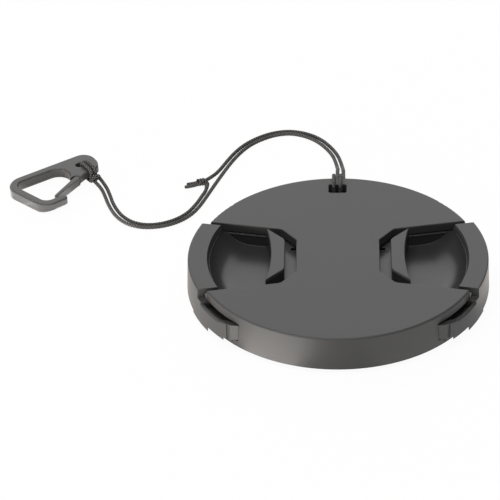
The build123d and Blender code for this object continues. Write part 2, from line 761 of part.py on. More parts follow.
with BuildPart() as clip_gate:
    with BuildSketch(clip_plane.offset(GATE_LIFT)):
        with BuildLine():
            Polyline(
                (GATE_PIVOT[0], GATE_PIVOT[1] + GATE_ROOT_R),
                GATE_TIP_IN,
                GATE_TIP_OUT,
                (GATE_PIVOT[0], GATE_PIVOT[1] - GATE_ROOT_R),
                close=True,
            )
        make_face()
        with Locations(GATE_PIVOT):
            Circle(GATE_ROOT_R)
    extrude(amount=CLIP_T - GATE_LIFT - GATE_DROP)
clip_gate.part.label = "clip_gate"
export_step(clip_gate.part, "parts/clip_gate.step")

# Hitch through the eye
with BuildPart() as clip_hitch:
    off_eye = CORD_D / 2 + CORD_FIT
    lean = radians(EYE_LEAN)
    outward = clip_x * sin(lean) - clip_y * cos(lean)
    for x in EYE_TURNS:
        start = clip_plane.from_local_coords((x, EYE_HOLE[1], 0))
        turn_plane = Plane(origin=start, x_dir=outward, z_dir=outward.cross(clip_plane.z_dir))
        add(cord_turn(turn_plane, 0, EYE_BAR + off_eye, -off_eye, CLIP_T + off_eye))
clip_hitch.part.label = "clip_hitch"
export_step(clip_hitch.part, "parts/clip_hitch.step")
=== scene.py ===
"""Looks of a centre-pinch lens cap with its cord leash and snap clip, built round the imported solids.

Lengths are written in millimetres and turned into metres where a mesh is made. The frame is the part's
own: the cap lies face up on the floor at z = 0, +X runs through the levers, +Y to the tied back edge.
"""

import json
import logging
from dataclasses import dataclass, field, replace
from enum import Enum
from math import acos, asin, cos, hypot, pi, radians, sin, sqrt, tan
from typing import Any, Sequence

import bmesh
import bpy
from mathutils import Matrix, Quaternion, Vector

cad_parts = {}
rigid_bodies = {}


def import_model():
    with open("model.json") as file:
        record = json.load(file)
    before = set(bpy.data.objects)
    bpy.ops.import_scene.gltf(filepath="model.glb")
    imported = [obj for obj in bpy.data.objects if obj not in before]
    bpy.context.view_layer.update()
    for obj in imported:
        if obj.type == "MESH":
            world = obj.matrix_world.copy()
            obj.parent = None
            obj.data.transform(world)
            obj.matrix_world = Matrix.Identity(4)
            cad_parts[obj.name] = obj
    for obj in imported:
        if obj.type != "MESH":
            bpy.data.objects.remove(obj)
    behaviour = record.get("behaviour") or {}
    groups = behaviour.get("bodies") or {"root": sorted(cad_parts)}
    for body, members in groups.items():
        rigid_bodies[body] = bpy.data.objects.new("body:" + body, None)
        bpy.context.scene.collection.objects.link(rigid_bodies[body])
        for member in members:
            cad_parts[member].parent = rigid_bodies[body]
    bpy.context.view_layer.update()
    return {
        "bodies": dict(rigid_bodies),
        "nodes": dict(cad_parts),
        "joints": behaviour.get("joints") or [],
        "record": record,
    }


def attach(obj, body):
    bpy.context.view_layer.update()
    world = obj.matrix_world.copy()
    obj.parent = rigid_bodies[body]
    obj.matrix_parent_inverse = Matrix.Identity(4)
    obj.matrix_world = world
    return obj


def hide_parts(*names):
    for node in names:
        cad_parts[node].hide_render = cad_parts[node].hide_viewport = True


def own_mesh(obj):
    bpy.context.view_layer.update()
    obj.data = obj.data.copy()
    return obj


MM = 0.001
ARC_STEPS = 12
CROWN = "crown"
Pair = tuple[float, float]
Point = tuple[float, float, float]
Colour = tuple[float, float, float]
WHITE: Colour = (1.0, 1.0, 1.0)
log = logging.getLogger("lens_cap")


class Body(Enum):
    """The bodies that pieces ride on."""

    CAP = "cap"
    LEFT = "left_lever"
    RIGHT = "right_lever"
    GATE = "gate"


class Slot(Enum):
    """The record's material slots."""

    CAP = "cap_plastic"
    CLIP = "clip_plastic"
    CORD = "cord"
    WIRE = "spring_wire"


class Socket:
    """A node's output that can be used in sums with other outputs and with numbers."""

    def __init__(self, tree: "NodeTree", out: bpy.types.NodeSocket) -> None:
        """Keep the tree, which gets the new nodes, and the output itself."""
        self.tree = tree
        self.out = out

    def _math(self, operation: str, first: Any, second: Any) -> "Socket":
        """Add one Math node for two values."""
        return self.tree.node("ShaderNodeMath", {"operation": operation}, {0: first, 1: second})

    def __add__(self, other: Any) -> "Socket":
        """Sum."""
        return self._math("ADD", self, other)

    __radd__ = __add__

    def __mul__(self, other: Any) -> "Socket":
        """Product."""
        return self._math("MULTIPLY", self, other)

    __rmul__ = __mul__

    def __sub__(self, other: Any) -> "Socket":
        """Difference."""
        return self._math("SUBTRACT", self, other)

    def __rsub__(self, other: Any) -> "Socket":
        """Difference from a number on the left."""
        return self._math("SUBTRACT", other, self)


def rgba(colour: Colour, gain: float = 1.0) -> tuple[float, float, float, float]:
    """A colour with full alpha, made lighter or darker by a gain."""
    return (colour[0] * gain, colour[1] * gain, colour[2] * gain, 1.0)


@dataclass(frozen=True)
class Tint:
    """A change of tone: the values between which a mask comes in, its share of the mix and its gain."""

    span: Pair
    share: float
    gain: float


class NodeTree:
    """The node tree of one new material."""

    def __init__(self, name: str) -> None:
        """Make the material and empty its tree.

        Args:
            name: name of the material.
        """
        self.material = bpy.data.materials.new(name)
        self.material.use_nodes = True
        self.tree = self.material.node_tree
        self.tree.nodes.clear()

    def node(
        self,
        kind: str,
        settings: dict[str, Any] | None = None,
        inputs: dict[int | str, Any] | None = None,
        out: int | str = 0,
    ) -> Socket:
        """Add a node.

        Args:
            kind: the node's type.
            settings: the node's own properties, which are set first.
            inputs: values or links by socket name or number.
            out: the output to hand back.

        Returns:
            The chosen output, ready for sums.
        """
        made = self.tree.nodes.new(kind)
        for key, value in (settings or {}).items():
            setattr(made, key, value)
        for key, value in (inputs or {}).items():
            if isinstance(value, Socket):
                self.tree.links.new(value.out, made.inputs[key])
            else:
                made.inputs[key].default_value = value
        return Socket(self, made.outputs[out] if made.outputs else None)

    def noise(self, where: Socket, size: float, detail: float = 2.0) -> Socket:
        """Cloudy noise from 0 to 1 with features of about the given size in metres."""
        return self.node(
            "ShaderNodeTexNoise", {}, {"Vector": where, "Scale": 1 / size, "Detail": detail}, "Fac"
        )

    def ramp(self, value: Socket, low: float, high: float) -> Socket:
        """Value stretched so that low becomes 0 and high becomes 1, held between them."""
        return self.node("ShaderNodeMapRange", {}, {0: value, 1: low, 2: high, 3: 0.0, 4: 1.0})

    def mix(self, share: Any, first: Any, second: Any) -> Socket:
        """Mix two colours."""
        return self.node("ShaderNodeMix", {"data_type": "RGBA"}, {0: share, 6: first, 7: second}, 2)

    def tinted(self, tone: Socket, mask: Socket, tint: Tint, colour: Colour) -> Socket:
        """A tone that becomes a lighter or darker one of its colour where a mask is high."""
        return self.mix(self.ramp(mask, *tint.span) * tint.share, tone, rgba(colour, tint.gain))

    def surface(self, **inputs: Any) -> bpy.types.Material:
        """Close the tree with a Principled shader.

        Args:
            inputs: socket values or links, by socket name with _ for a space.

        Returns:
            The finished material.
        """
        named = {key.replace("_", " "): value for key, value in inputs.items()}
        shader = self.node("ShaderNodeBsdfPrincipled", {}, named)
        self.node("ShaderNodeOutputMaterial", {}, {"Surface": shader})
        return self.material


@dataclass(frozen=True)
class MouldedFinish:
    """Spark-eroded plastic: an even grain, faint clouding from the mould, edges rubbed a little smoother
    and lightened with a painted highlight.

    With some polish, the finger pockets (what lies within a radius of the cap's axis and below a height)
    are smoother and darkened with painted shade. Sizes are in millimetres.
    """

    name: str
    colour: Colour
    roughness: float = 0.46
    specular: float = 0.4
    grain: float = 0.22
    grain_height: float = 0.012
    grain_span: Pair = (0.3, 0.7)
    grain_gain: Pair = (0.9, 1.1)
    grain_dull: float = 0.14
    bump: float = 0.5
    speckle: float = 0.55
    speckle_tint: Tint = Tint((0.5, 0.75), 0.35, 1.16)
    cloud: float = 9.0
    cloud_tint: Tint = Tint((0.35, 0.75), 0.3, 0.93)
    edge: float = 0.16
    edge_samples: int = 6
    # Painted highlight on the edges: where the edge mask is high the colour is lightened up to twofold; the
    # same mask also makes the edges glossier.
    rub_and_highlight_tint: Tint = Tint((0.0, 0.22), 0.7, 2.0)
    rub_gloss: float = 0.1
    polish: float = 0.0
    polish_and_shade_within: Pair = (31.9, 9.85)
    polish_and_shade_fade: float = 0.3
    # Painted shade: the pockets' colour is darkened to this share of the finish's colour.
    pocket_shade_gain: float = 0.75
    polish_smooth: float = 0.9

    def make(self) -> bpy.types.Material:
        """Mix the finish, with rounded edges in its normals.

        Returns:
            The material.
        """
        tree = NodeTree(self.name)
        where = tree.node("ShaderNodeTexCoord", out="Object")
        grain = tree.noise(where, self.grain * MM, detail=3.0)
        speckle = tree.noise(where, self.speckle * MM)
        cloud = tree.noise(where, self.cloud * MM, detail=3.0)
        soft = tree.node("ShaderNodeBevel", {"samples": self.edge_samples}, {"Radius": self.edge * MM})
        rub_and_highlight = self._edge_mask(tree, soft)
        dark, light = (rgba(self.colour, gain) for gain in self.grain_gain)
        tone = tree.mix(tree.ramp(grain, *self.grain_span), dark, light)
        tone = tree.tinted(tone, speckle, self.speckle_tint, self.colour)
        tone = tree.tinted(tone, cloud, self.cloud_tint, self.colour)
        # Painted highlight: the edges are lightened.
        tone = tree.mix(rub_and_highlight * self.rub_and_highlight_tint.share, tone, rgba(self.colour, self.rub_and_highlight_tint.gain))
        gloss = rub_and_highlight * self.rub_gloss
        if self.polish:
            inside = self._inside(tree, where)
            # Painted shade in the pockets: their colour is darkened; the smoother grain and the added gloss
            # below are the real polish.
            tone = tree.mix(inside, tone, rgba(self.colour, self.pocket_shade_gain))
            grain = grain - (grain - 0.5) * (inside * self.polish_smooth)
            gloss = gloss + inside * self.polish
        normal = tree.node(
            "ShaderNodeBump",
            {},
            {"Strength": self.bump, "Distance": self.grain_height * MM, "Height": grain, "Normal": soft},
        )
        return tree.surface(
            Base_Color=tone,
            Roughness=self.roughness + (grain - 0.5) * self.grain_dull - gloss,
            Specular_IOR_Level=self.specular,
            Normal=normal,
        )

    def _edge_mask(self, tree: NodeTree, soft: Socket) -> Socket:
        """Mask the edges, where the rounded normal leaves the flat one.

        Args:
            tree: the material's tree.
            soft: the rounded normal.

        Returns:
            The mask, from 0 on a flat to 1 on an edge.
        """
        flat = tree.node("ShaderNodeNewGeometry", out="Normal")
        alike = tree.node("ShaderNodeVectorMath", {"operation": "DOT_PRODUCT"}, {0: soft, 1: flat}, "Value")
        return tree.ramp(1.0 - alike, *self.rub_and_highlight_tint.span)

    def _inside(self, tree: NodeTree, where: Socket) -> Socket:
        """Mask what lies within the radius and below the height of the polish and the painted shade.

        Args:
            tree: the material's tree.
            where: the place on the object.

        Returns:
            The mask, 1 inside.
        """
        level = tree.node("ShaderNodeVectorMath", {"operation": "MULTIPLY"}, {0: where, 1: (1.0, 1.0, 0.0)})
        reach = tree.node("ShaderNodeVectorMath", {"operation": "LENGTH"}, {0: level}, "Value")
        height = tree.node("ShaderNodeSeparateXYZ", {}, {0: where}, "Z")
        masks = [
            tree.ramp(measure, most * MM, (most - self.polish_and_shade_fade) * MM)
            for measure, most in zip((reach, height), self.polish_and_shade_within)
        ]
        return masks[0] * masks[1]


@dataclass(frozen=True)
class BraidFinish:
    """Braided thread with fine fibres: a painted highlight on the crowns of the yarns and painted shade
    between them.
    """

    name: str = "leash_cord"
    colour: Colour = (0.038, 0.037, 0.036)
    roughness: float = 0.72
    specular: float = 0.2
    crown_span: Pair = (0.3, 0.75)
    # Painted shade between the yarns and a painted highlight on their crowns: the colour's gain from the
    # low to the high of the braid.
    crown_shade_and_highlight_gain: Pair = (0.3, 3.8)
    fibre: float = 0.08
    fibre_height: float = 0.03
    fibre_tint: Tint = Tint((0.5, 0.72), 0.35, 3.2)
    fibre_dull: float = 0.2
    bump: float = 0.6
    patch: float = 2.6
    patch_tint: Tint = Tint((0.4, 0.7), 0.35, 0.8)

    def make(self) -> bpy.types.Material:
        """Mix the finish, which reads the height of the braid from the mesh.

        Returns:
            The material.
        """
        tree = NodeTree(self.name)
        where = tree.node("ShaderNodeTexCoord", out="Object")
        crown = tree.node("ShaderNodeAttribute", {"attribute_name": CROWN}, out="Fac")
        fibre = tree.noise(where, self.fibre * MM, detail=3.0)
        patch = tree.noise(where, self.patch * MM)
        # Painted light: dark between the yarns, light on their crowns.
        dark, light = (rgba(self.colour, gain) for gain in self.crown_shade_and_highlight_gain)
        tone = tree.mix(tree.ramp(crown, *self.crown_span), dark, light)
        tone = tree.tinted(tone, fibre, self.fibre_tint, self.colour)
        tone = tree.tinted(tone, patch, self.patch_tint, self.colour)
        normal = tree.node(
            "ShaderNodeBump",
            {},
            {"Strength": self.bump, "Distance": self.fibre_height * MM, "Height": fibre},
        )
        return tree.surface(
            Base_Color=tone,
            Roughness=self.roughness + (fibre - 0.5) * self.fibre_dull,
            Specular_IOR_Level=self.specular,
            Normal=normal,
        )


@dataclass(frozen=True)
class WireFinish:
    """Drawn spring steel with a finely scratched surface."""

    name: str = "spring_steel"
    colour: Colour = (0.56, 0.55, 0.53)
    scratch: float = 0.12
    scratch_gain: Pair = (0.8, 1.1)
    scratch_dull: float = 0.18
    roughness: float = 0.24

    def make(self) -> bpy.types.Material:
        """Mix the finish.

        Returns:
            The material.
        """
        tree = NodeTree(self.name)
        where = tree.node("ShaderNodeTexCoord", out="Object")
        drawn = tree.noise(where, self.scratch * MM, detail=4.0)
        dark, light = (rgba(self.colour, gain) for gain in self.scratch_gain)
        tone = tree.mix(drawn, dark, light)
        dull = self.roughness + drawn * self.scratch_dull
        return tree.surface(Base_Color=tone, Metallic=1.0, Roughness=dull)


@dataclass(frozen=True)
class FloorFinish:
    """Matt paper that the camera sees as white and that still takes the shadow of the object."""

    name: str = "white_floor"
    lift: float = 0.95
    fibre: float = 0.4
    tones: Pair = (0.86, 0.9)
    rays: tuple[str, str, str] = ("Camera", "Glossy", "Transmission")

    def make(self) -> bpy.types.Material:
        """Mix the finish.

        Returns:
            The material.
        """
        tree = NodeTree(self.name)
        where = tree.node("ShaderNodeTexCoord", out="Object")
        fibre = tree.noise(where, self.fibre * MM)
        dark, light = (rgba(WHITE, tone) for tone in self.tones)
        paper = tree.node("ShaderNodeBsdfDiffuse", {}, {"Color": tree.mix(fibre, dark, light)})
        white = tree.node("ShaderNodeEmission", {}, {"Color": rgba(WHITE), "Strength": 1.0})
        rays = [tree.node("ShaderNodeLightPath", out=f"Is {ray} Ray") for ray in self.rays]
        share = (rays[0] + rays[1] + rays[2]) * self.lift
        blend = tree.node("ShaderNodeMixShader", {}, {0: share, 1: paper, 2: white})
        tree.node("ShaderNodeOutputMaterial", {}, {"Surface": blend})
        return tree.material


@dataclass
class Finishes:
    """All finishes of the object, each made once."""

    cap_colour: Colour = (0.043, 0.043, 0.043)
    inner_colour: Colour = (0.028, 0.028, 0.028)
    clip_colour: Colour = (0.057, 0.056, 0.055)
    cap: bpy.types.Material = field(init=False)
    lever: bpy.types.Material = field(init=False)
    inner: bpy.types.Material = field(init=False)
    clip: bpy.types.Material = field(init=False)
    cord: bpy.types.Material = field(init=False)
    wire: bpy.types.Material = field(init=False)

    def __post_init__(self) -> None:
        """Make the materials."""
        cap = MouldedFinish("cap_moulding", self.cap_colour, edge=0.12)
        self.cap = cap.make()
        # The levers take the polish and the painted shade of their finger pockets.
        self.lever = replace(cap, name="lever_moulding", polish=0.2).make()
        self.inner = MouldedFinish("inner_moulding", self.inner_colour, roughness=0.45).make()
        self.clip = MouldedFinish(
            "clip_moulding", self.clip_colour, roughness=0.36, grain=0.14, grain_height=0.002, edge=0.4
        ).make()
        self.cord = BraidFinish().make()
        self.wire = WireFinish().make()


def dress(node: bpy.types.Object, material: bpy.types.Material) -> None:
    """Give an object one material, in place of any it has."""
    node.data.materials.clear()
    node.data.materials.append(material)


def place(piece: bpy.types.Object, body: Body, material: bpy.types.Material) -> None:
    """Dress a new piece and put it on a body.

    Args:
        piece: the new object.
        body: what it moves with.
        material: its finish.
    """
    dress(piece, material)
    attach(piece, body.value)
    log.info("%s rides on %s", piece.name, body.value)


def shown(name: str, mesh: bpy.types.Mesh) -> bpy.types.Object:
    """Link a new object for a mesh.

    Args:
        name: name of the new object.
        mesh: its mesh.

    Returns:
        The new object.
    """
    piece = bpy.data.objects.new(name, mesh)
    bpy.context.scene.collection.objects.link(piece)
    return piece


def spread(first: float, last: float, steps: int = ARC_STEPS) -> list[float]:
    """Values from the first to the last in even steps."""
    return [first + (last - first) * step / steps for step in range(steps + 1)]


@dataclass
class Route:
    """A smooth line for a cord, drawn by a list of control points in millimetres."""

    points: Sequence[Point]
    closed: bool = False
    step: float = 0.11
    fewest: int = 6

    def line(self) -> list[Vector]:
        """Read close points from the route's own spline.

        Returns:
            The points, in metres.
        """
        curve = bpy.data.curves.new("route", "CURVE")
        curve.dimensions = "3D"
        spline = curve.splines.new("NURBS")
        spline.points.add(len(self.points) - 1)
        for spot, place_mm in zip(spline.points, self.points):
            spot.co = (*(Vector(place_mm) * MM), 1.0)
        spline.order_u = 3
        spline.use_cyclic_u = self.closed
        spline.use_endpoint_u = not self.closed
        runs = [(Vector(b) - Vector(a)).length for a, b in zip(self.points, self.points[1:])]
        spline.resolution_u = max(self.fewest, round(sum(runs) / len(runs) / self.step))
        holder = bpy.data.objects.new("route", curve)
        bpy.context.scene.collection.objects.link(holder)
        bpy.context.view_layer.update()
        graph = bpy.context.evaluated_depsgraph_get()
        mesh = bpy.data.meshes.new_from_object(holder.evaluated_get(graph))
        found = [vertex.co.copy() for vertex in mesh.vertices]
        bpy.data.meshes.remove(mesh)
        bpy.data.objects.remove(holder)
        bpy.data.curves.remove(curve)
        return found


@dataclass(frozen=True)
class Braid:
    """A braided tube: bumps of yarn in a staggered lattice over a round section."""

    diameter: float = 1.02
    columns: int = 4
    stitch: float = 0.78
    relief: float = 0.1
    sides: int = 24
    fray: float = 0.5
    end_crown: float = 0.1

    def tube(self, name: str, route: Route, girth: float = 1.0) -> tuple[bpy.types.Object, list[Vector]]:
        """Build one tube along a route.

        Args:
            name: name of the new object.
            route: its line.
            girth: its diameter, as a share of the braid's own.

        Returns:
            The object and the points that it follows.
        """
        line = route.line()
        radius = self.diameter * girth / 2 * MM
        rings = self._rings(line, route.closed)
        verts: list[Vector] = []
        crowns: list[float] = []
        run = 0.0
        for index, (centre, side, up) in enumerate(rings):
            if index:
                run += (centre - rings[index - 1][0]).length
            for corner in range(self.sides):
                turn = 2 * pi * corner / self.sides
                crown = cos(self.columns * turn) * cos(pi * run / (self.stitch / 2 * MM))
                reach = radius * (1 - self.relief + self.relief * crown)
                verts.append(centre + (side * cos(turn) + up * sin(turn)) * reach)
                crowns.append(0.5 + 0.5 * crown)
        faces = self._faces(len(rings), route.closed)
        if not route.closed:
            for ring, beside in ((0, 1), (-1, -2)):
                outward = rings[ring][0] - rings[beside][0]
                verts.append(rings[ring][0] + outward.normalized() * radius * self.fray)
                crowns.append(self.end_crown)
        mesh = bpy.data.meshes.new(name)
        mesh.from_pydata(verts, [], faces)
        mesh.shade_smooth()
        height = mesh.attributes.new(CROWN, "FLOAT", "POINT")
        height.data.foreach_set("value", crowns)
        mesh.update()
        return shown(name, mesh), line

    @staticmethod
    def _rings(line: list[Vector], closed: bool) -> list[tuple[Vector, Vector, Vector]]:
        """Carry a cross section along a line without twisting it.

        Args:
            line: the points.
            closed: whether the last point leads back to the first.

        Returns:
            Centre and two cross axes for each point.
        """
        count = len(line)
        frames = []
        side = None
        for i, centre in enumerate(line):
            before = line[i - 1] if i or closed else centre
            after = line[(i + 1) % count] if i + 1 < count or closed else centre
            along = (after - before).normalized()
            if side is None:
                side = along.orthogonal()
            side = (side - along * side.dot(along)).normalized()
            frames.append((centre, side.copy(), along.cross(side)))
        return frames

    def _faces(self, rings: int, closed: bool) -> list[tuple[int, ...]]:
        """Span the rings with faces, and close the ends of an open tube.

        Args:
            rings: number of rings.
            closed: whether the last ring leads back to the first.

        Returns:
            Quads between the rings, and fans to the two end points.
        """
        n = self.sides
        faces: list[tuple[int, ...]] = []
        for ring in range(rings if closed else rings - 1):
            here, there = ring * n, (ring + 1) % rings * n
            for corner in range(n):
                beside = (corner + 1) % n
                faces.append((here + corner, here + beside, there + beside, there + corner))
        if not closed:
            first, last, top = rings * n, rings * n + 1, (rings - 1) * n
            for corner in range(n):
                beside = (corner + 1) % n
                faces.append((first, beside, corner))
                faces.append((last, top + corner, top + beside))
        return faces


def joined(name: str, pieces: Sequence[bpy.types.Object]) -> bpy.types.Object:
    """Join several mesh objects into one with a new name.

    Args:
        name: the new name.
        pieces: the objects, which the first takes in.

    Returns:
        The joined object.
    """
    whole, parts = pieces[0], list(pieces)
    with bpy.context.temp_override(
        active_object=whole, object=whole, selected_objects=parts, selected_editable_objects=parts
    ):
        bpy.ops.object.join()
    whole.name = name
    whole.data.name = name
    return whole


def block(name: str, low: Sequence[Vector], high: Sequence[Vector]) -> bpy.types.Object:
    """Build a block between two outlines.

    Args:
        name: name of the new object.
        low: corners of its foot, in millimetres.
        high: corners of its top, as many.

    Returns:
        The new object.
    """
    count = len(low)
    verts = [spot * MM for spot in (*low, *high)]
    faces: list[tuple[int, ...]] = [tuple(range(count)), tuple(range(count, 2 * count))]
    for corner in range(count):
        beside = (corner + 1) % count
        faces.append((corner, beside, count + beside, count + corner))
    mesh = bpy.data.meshes.new(name)
    mesh.from_pydata(verts, [], faces)
    shell = bmesh.new()
    shell.from_mesh(mesh)
    bmesh.ops.recalc_face_normals(shell, faces=shell.faces)
    shell.to_mesh(mesh)
    shell.free()
    return shown(name, mesh)


@dataclass
class CapShell:
    """The moulded face plate with its rim, and the inner cover with the spigot."""

    shell: str = "cap_body"
    cover: str = "back_plate"

    def build(self, nodes: dict[str, bpy.types.Object], finishes: Finishes) -> None:
        """Dress the two mouldings.

        Args:
            nodes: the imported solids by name.
            finishes: the object's materials.
        """
        for name, material in ((self.shell, finishes.cap), (self.cover, finishes.inner)):
            dress(nodes[name], material)
            log.info("%s dressed", name)


@dataclass(frozen=True)
class Corner:
    """One end of one lever: the side of the cap and the end there, each -1 or 1; -1 is left and front."""

    side: int
    end: int

    def at(self, x: float, y: float, z: float) -> Vector:
        """A point of the right lever's back end, mirrored into this corner."""
        return Vector((self.side * x, self.end * y, z))


@dataclass
class PinchLevers:
    """The two levers with scooped pockets, and their finer forms at the rim, the plate and the pockets."""

    # The outer wall, which leans out towards its foot
    outer: float = 36.7
    flare: float = 0.3
    top: float = 10.0
    foot: float = 1.4
    # The ends of the wings
    tip_root: float = 28.6
    tip_step: float = 26.75
    tip_out: float = 36.47
    tip_end: Pair = (23.45, 25.85)
    tip_heel: Pair = (28.0, 22.4)
    tip_face: float = 1.2
    tip_low: float = 3.2
    tip_high: tuple[float, float, float] = (6.75, 7.5, 7.3)
    tip_sunk: float = 0.01
    tip_arc: int = 6
    # The floor of the gap behind a wing
    shelf: Pair = (4.9, 5.3)
    shelf_reach: Pair = (36.2, 32.6)
    shelf_start: float = 22.0
    shelf_end: float = 25.8
    # The slider beside the tab, cut out round the body's guide wall
    slider: Pair = (6.6, 6.99)
    slider_corner: tuple[Pair, ...] = (
        (9.2, 6.0), (13.2, 6.0), (17.0, 10.6), (15.6, 12.6), (12.6, 12.6), (9.2, 8.7),
        (9.2, 7.78), (11.65, 7.78), (11.65, 6.62), (9.2, 6.62),
    )
    # The pocket's side wall and the beads on it
    knee: Pair = (13.9, 11.6)
    splay: float = 10.9
    lip: float = 0.15
    lip_z: float = 7.25
    floor_z: float = 4.25
    scoop: Pair = (24.786, 7.4)
    bead: Braid = field(default_factory=lambda: Braid(diameter=0.24, relief=0.0, sides=8))
    bead_x: Pair = (17.7, 27.1)
    bead_step: float = 0.3

    def build(self, nodes: dict[str, bpy.types.Object], finishes: Finishes) -> None:
        """Dress both levers and add their finer forms.

        Args:
            nodes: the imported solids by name.
            finishes: the object's materials.
        """
        for name, body, side in (("lever_left", Body.LEFT, -1), ("lever_right", Body.RIGHT, 1)):
            dress(nodes[name], finishes.lever)
            pieces = []
            for end in (-1, 1):
                corner = Corner(side, end)
                pieces.append(self._tip(f"{name}_tip", corner))
                pieces.append(self._shelf(f"{name}_shelf", corner))
                pieces.append(self._lap(f"{name}_lap", corner))
                pieces += self._beads(f"{name}_bead", corner)
            place(joined(f"{name}_ends", pieces), body, finishes.cap)

    def _wall(self, z: float) -> float:
        """Radius of the lever's outer wall at a height."""
        return self.outer + self.flare * (self.top - z) / (self.top - self.foot)

    def _tip_edge(self, z: float) -> list[Pair]:
        """Outer edge of a tip at a height: along the wall, a step in and on to the end.

        Args:
            z: the height.

        Returns:
            Radius and angle of each corner.
        """
        wall = self._wall(z) - self.tip_sunk
        turns = spread(acos(self.tip_root / wall), acos(self.tip_step / wall), self.tip_arc)
        last = asin(self.tip_end[1] / self.tip_out)
        return [*((wall, turn) for turn in turns), (self.tip_out, turns[-1]), (self.tip_out, last)]

    def _tip(self, name: str, corner: Corner) -> bpy.types.Object:
        """Build the end of one wing, cut off along the end of the rim.

        Args:
            name: name of the new object.
            corner: where it goes.

        Returns:
            The new object.
        """
        near_x, near_y = self.tip_end
        rise, peak, near = self.tip_high
        steps = self.tip_arc + 2
        low, high = [], []
        for step in range(steps + 1):
            for loop, z in ((low, self.tip_low), (high, rise + (peak - rise) * step / steps)):
                reach, turn = self._tip_edge(z)[step]
                loop.append(corner.at(reach * cos(turn), reach * sin(turn), z))
        inside = ((near_x, near_y, near), (near_x, near_y - self.tip_face, near), (*self.tip_heel, rise))
        for x, y, z in inside:
            low.append(corner.at(x, y, self.tip_low))
            high.append(corner.at(x, y, z))
        return block(name, low, high)

    def _shelf(self, name: str, corner: Corner) -> bpy.types.Object:
        """Build the floor of the gap between one wing and the plate.

        Args:
            name: name of the new object.
            corner: where it goes.

        Returns:
            The new object.
        """
        plan = []
        for reach in self.shelf_reach:
            turns = spread(radians(self.shelf_start), asin(self.shelf_end / reach))
            arc = [(reach * cos(turn), reach * sin(turn)) for turn in turns]
            plan += arc[::-1] if plan else arc
        low, high = ([corner.at(x, y, z) for x, y in plan] for z in self.shelf)
        return block(name, low, high)

    def _lap(self, name: str, corner: Corner) -> bpy.types.Object:
        """Build the corner of the slider that shows beside the tab.

        Args:
            name: name of the new object.
            corner: where it goes.

        Returns:
            The new object.
        """
        low, high = ([corner.at(x, y, z) for x, y in self.slider_corner] for z in self.slider)
        return block(name, low, high)

    def _beads(self, name: str, corner: Corner) -> list[bpy.types.Object]:
        """Build the two fine beads on a side wall of the pocket, along its top and along its foot.

        Args:
            name: name of the new objects.
            corner: where it goes.

        Returns:
            The new objects.
        """
        lines: tuple[list[Point], list[Point]] = ([], [])
        knee_x, knee_y = self.knee
        scoop_start, scoop_radius = self.scoop
        for x in spread(*self.bead_x):
            y = knee_y + (x - knee_x) * tan(radians(self.splay)) - self.lip
            past = max(0.0, hypot(x, y) - scoop_start)
            z = self.floor_z + scoop_radius - sqrt(scoop_radius**2 - past**2)
            lines[0].append(tuple(corner.at(x, y, self.lip_z)))
            lines[1].append(tuple(corner.at(x, y, z)))
        return [self.bead.tube(name, Route(line, step=self.bead_step))[0] for line in lines]


@dataclass
class CoilSprings:
    """A compression spring behind each lever."""

    start: float = 1.25
    end: float = 12.95
    centre_z: float = 4.3
    outer: float = 2.58
    wire: float = 0.45
    turns: int = 6
    steps: int = 28
    sides: int = 10
    shut: float = 0.83

    def build(self, finishes: Finishes) -> None:
        """Wind both springs.

        Args:
            finishes: the object's materials.
        """
        for name, sign, joint in (("spring_left", -1, "left_pinch"), ("spring_right", 1, "right_pinch")):
            piece = self._coil(name + "_coil", sign)
            place(piece, Body.CAP, finishes.wire)
            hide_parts(name)
            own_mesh(piece)

    def _coil(self, name: str, sign: int) -> bpy.types.Object:
        """Wind one spring.

        Args:
            name: name of the new object.
            sign: side of the cap, -1 or 1.

        Returns:
            The new object.
        """
        reach = (self.outer - self.wire) / 2
        rings = self.turns * self.steps + 1
        free = self.end - self.start - self.wire
        verts: list[Vector] = []
        for ring in range(rings):
            share = ring / (rings - 1)
            turn = 2 * pi * self.turns * share
            along = self.start + self.wire / 2 + free * share
            outward = Vector((0, cos(turn), sin(turn)))
            for corner in range(self.sides):
                around = 2 * pi * corner / self.sides
                spot = outward * (reach + self.wire / 2 * cos(around))
                x = along + self.wire / 2 * sin(around)
                verts.append(Vector((sign * x, spot.y, spot.z + self.centre_z)) * MM)
        n = self.sides
        faces: list[tuple[int, ...]] = [
            (r * n + c, r * n + (c + 1) % n, (r + 1) * n + (c + 1) % n, (r + 1) * n + c)
            for r in range(rings - 1)
            for c in range(n)
        ]
        faces.append(tuple(range(n)))
        faces.append(tuple((rings - 1) * n + c for c in reversed(range(n))))
        mesh = bpy.data.meshes.new(name)
        mesh.from_pydata(verts, [], faces)
        if sign > 0:
            mesh.flip_normals()
        mesh.shade_smooth()
        mesh.update()
        return shown(name, mesh)


